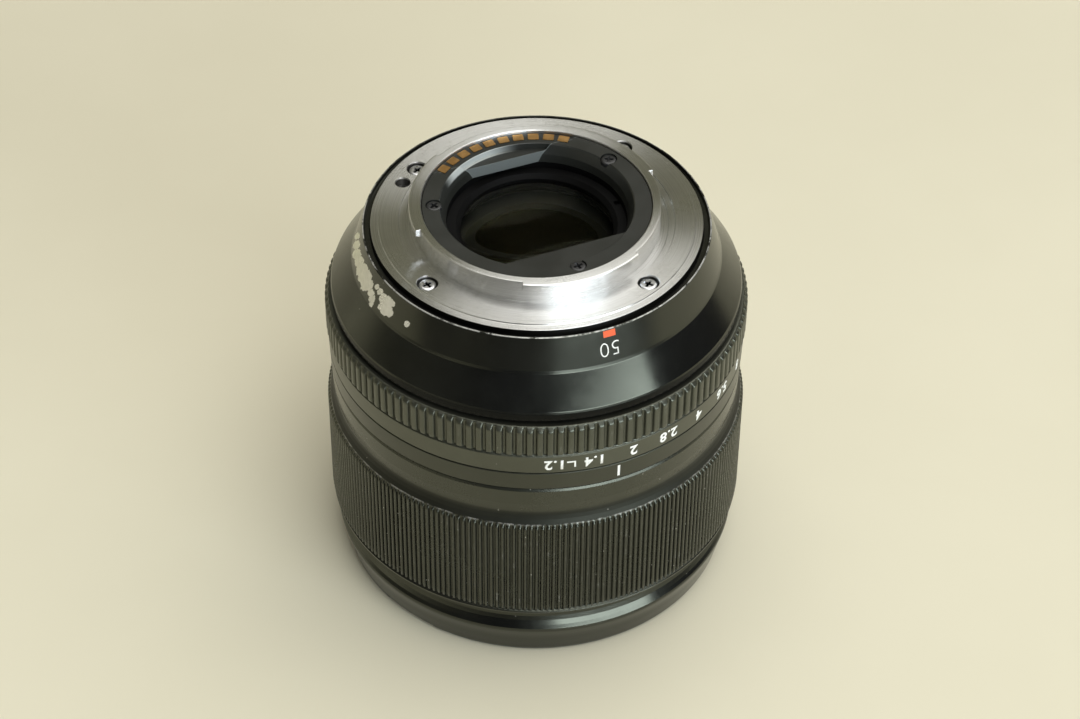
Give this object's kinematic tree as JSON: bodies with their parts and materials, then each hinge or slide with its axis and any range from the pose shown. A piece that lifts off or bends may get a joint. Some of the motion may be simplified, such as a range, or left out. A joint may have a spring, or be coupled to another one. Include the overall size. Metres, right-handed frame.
{
  "type": "prime camera lens",
  "caption": "Fast autofocus prime lens with clicked aperture ring, ribbed focus ring, bayonet mount with contacts, internal iris and sliding focus group, standing on its front rim.",
  "frame": {"origin": "centre of the mount flange's bearing plane, on the optical axis", "axes": "+Z along the optical axis from the front rim to the camera body; -Y is the lens's top, where the index line and the red mounting mark are"},
  "size_m": [0.0732, 0.0732, 0.0734],
  "materials": {
    "chromed_brass": "turned and satin chromed, worn bright on the bearing face",
    "shim_brass": "rolled",
    "screw_steel": "plated",
    "black_screw": "black oxide",
    "black_polycarbonate": "fine matt moulding",
    "contact_gold": "gold plated, rubbed",
    "polyimide_flex": "satin film",
    "black_anodised": "semi-gloss black with worn edges",
    "inner_black_aluminium": "matt black anodised",
    "circuit_board": "solder mask",
    "bright_steel": "ground",
    "glide_polymer": "low-friction polymer",
    "clear_glass": "polished and coated",
    "dense_glass": "polished and coated",
    "blade_steel": "dry-film black",
    "rotor_alloy": "dark anodised",
    "pinion_brass": "hobbed"
  },
  "bodies": {
    "lens_body": {"mount_flange": "chromed_brass", "flange_shim": "shim_brass", "flange_screws": "screw_steel", "contact_block": "black_polycarbonate", "contact_pins": "contact_gold", "contact_flex": "polyimide_flex", "rear_baffle": "black_polycarbonate", "baffle_screws": "black_screw", "rear_cell": "inner_black_aluminium", "rear_retaining_ring": "inner_black_aluminium", "rear_cover": "black_anodised", "main_pcb": "circuit_board", "main_barrel": "inner_black_aluminium", "barrel_set_screws": "black_screw", "aperture_brush": "black_polycarbonate", "click_spring": "bright_steel", "index_ring": "black_anodised", "focus_encoder_sensor": "circuit_board", "focus_glides": "glide_polymer", "front_barrel": "black_anodised", "trim_ring": "inner_black_aluminium", "front_retaining_ring": "inner_black_aluminium", "front_cell": "inner_black_aluminium", "front_cell_screws": "black_screw", "lens_1": "clear_glass", "lens_2": "clear_glass", "lens_3": "clear_glass", "lens_4": "dense_glass", "lens_10": "clear_glass", "lens_11": "clear_glass", "iris_base": "inner_black_aluminium", "iris_cover": "inner_black_aluminium", "iris_stepper": "bright_steel", "guide_rods": "bright_steel", "focus_motor": "bright_steel"},
    "aperture_ring": {"aperture_ring": "black_anodised", "aperture_code_strip": "polyimide_flex"},
    "click_ball": {"click_ball": "bright_steel"},
    "focus_ring": {"focus_ring": "black_anodised", "focus_encoder_comb": "bright_steel"},
    "iris_rotor": {"iris_rotor": "rotor_alloy"},
    "iris_blade_1": {"iris_blade_1": "blade_steel"},
    "iris_blade_2": {"iris_blade_2": "blade_steel"},
    "iris_blade_3": {"iris_blade_3": "blade_steel"},
    "iris_blade_4": {"iris_blade_4": "blade_steel"},
    "iris_blade_5": {"iris_blade_5": "blade_steel"},
    "iris_blade_6": {"iris_blade_6": "blade_steel"},
    "iris_blade_7": {"iris_blade_7": "blade_steel"},
    "iris_pinion": {"iris_pinion": "pinion_brass"},
    "focus_unit": {"focus_carriage": "inner_black_aluminium", "focus_front_ring": "black_polycarbonate", "focus_rear_ring": "black_polycarbonate", "lens_5": "dense_glass", "lens_6": "clear_glass", "lens_7": "clear_glass", "lens_8": "clear_glass", "lens_9": "dense_glass"},
    "lead_screw": {"lead_screw": "bright_steel"},
    "focus_motor_pinion": {"focus_motor_pinion": "pinion_brass"}
  },
  "joints": [
    {"name": "aperture_ring_turn", "type": "hinge", "parent": "lens_body", "child": "aperture_ring", "pos_m": [0, 0, -0.0197], "axis": [0, 0, 1], "range_deg": [-85, 16.5]},
    {"name": "focus_ring_turn", "type": "hinge", "parent": "lens_body", "child": "focus_ring", "pos_m": [0, 0, -0.0437], "axis": [0, 0, 1], "continuous": true},
    {"name": "click_ball_press", "type": "slide", "parent": "lens_body", "child": "click_ball", "axis": [0, 0, -1], "range_m": [0, 0.00025], "stiffness_N_per_m": 200, "deforming": ["click_spring"]},
    {"name": "iris_ring_turn", "type": "hinge", "parent": "lens_body", "child": "iris_rotor", "pos_m": [0, 0, -0.0371], "axis": [0, 0, 1], "range_deg": [0, 20]},
    {"name": "iris_blade_1_turn", "type": "hinge", "parent": "lens_body", "child": "iris_blade_1", "pos_m": [0.0264, 0, -0.0387], "axis": [0, 0, 1], "range_deg": [0, 31.71]},
    {"name": "iris_blade_2_turn", "type": "hinge", "parent": "lens_body", "child": "iris_blade_2", "pos_m": [0.01646, 0.02064, -0.0387], "axis": [0, 0, 1], "range_deg": [0, 31.71]},
    {"name": "iris_blade_3_turn", "type": "hinge", "parent": "lens_body", "child": "iris_blade_3", "pos_m": [-0.00587, 0.02574, -0.0387], "axis": [0, 0, 1], "range_deg": [0, 31.71]},
    {"name": "iris_blade_4_turn", "type": "hinge", "parent": "lens_body", "child": "iris_blade_4", "pos_m": [-0.02379, 0.01145, -0.0387], "axis": [0, 0, 1], "range_deg": [0, 31.71]},
    {"name": "iris_blade_5_turn", "type": "hinge", "parent": "lens_body", "child": "iris_blade_5", "pos_m": [-0.02379, -0.01145, -0.0387], "axis": [0, 0, 1], "range_deg": [0, 31.71]},
    {"name": "iris_blade_6_turn", "type": "hinge", "parent": "lens_body", "child": "iris_blade_6", "pos_m": [-0.00587, -0.02574, -0.0387], "axis": [0, 0, 1], "range_deg": [0, 31.71]},
    {"name": "iris_blade_7_turn", "type": "hinge", "parent": "lens_body", "child": "iris_blade_7", "pos_m": [0.01646, -0.02064, -0.0387], "axis": [0, 0, 1], "range_deg": [0, 31.71]},
    {"name": "iris_pinion_spin", "type": "hinge", "parent": "lens_body", "child": "iris_pinion", "pos_m": [-0.02314, -0.01336, -0.0357], "axis": [0, 0, 1], "range_deg": [-336.1, 0]},
    {"name": "focus_slide", "type": "slide", "parent": "lens_body", "child": "focus_unit", "axis": [0, 0, 1], "range_m": [0, 0.004]},
    {"name": "lead_screw_spin", "type": "hinge", "parent": "lens_body", "child": "lead_screw", "pos_m": [0.02292, 0.01408, -0.0247], "axis": [0, 0, 1], "range_deg": [-1440.1, 0]},
    {"name": "focus_pinion_spin", "type": "hinge", "parent": "lens_body", "child": "focus_motor_pinion", "pos_m": [0.02528, 0.0092, -0.0327], "axis": [0, 0, 1], "range_deg": [0, 2880.2]}
  ],
  "couplings": [
    {"joint": "iris_blade_1_turn", "follows": "iris_ring_turn", "ratio": 1.585},
    {"joint": "iris_blade_2_turn", "follows": "iris_ring_turn", "ratio": 1.585},
    {"joint": "iris_blade_3_turn", "follows": "iris_ring_turn", "ratio": 1.585},
    {"joint": "iris_blade_4_turn", "follows": "iris_ring_turn", "ratio": 1.585},
    {"joint": "iris_blade_5_turn", "follows": "iris_ring_turn", "ratio": 1.585},
    {"joint": "iris_blade_6_turn", "follows": "iris_ring_turn", "ratio": 1.585},
    {"joint": "iris_blade_7_turn", "follows": "iris_ring_turn", "ratio": 1.585},
    {"joint": "iris_pinion_spin", "follows": "iris_ring_turn", "ratio": -16.8},
    {"joint": "lead_screw_spin", "follows": "focus_slide", "rad_per_m": -6283.2},
    {"joint": "focus_pinion_spin", "follows": "focus_slide", "rad_per_m": 12566}
  ]
}
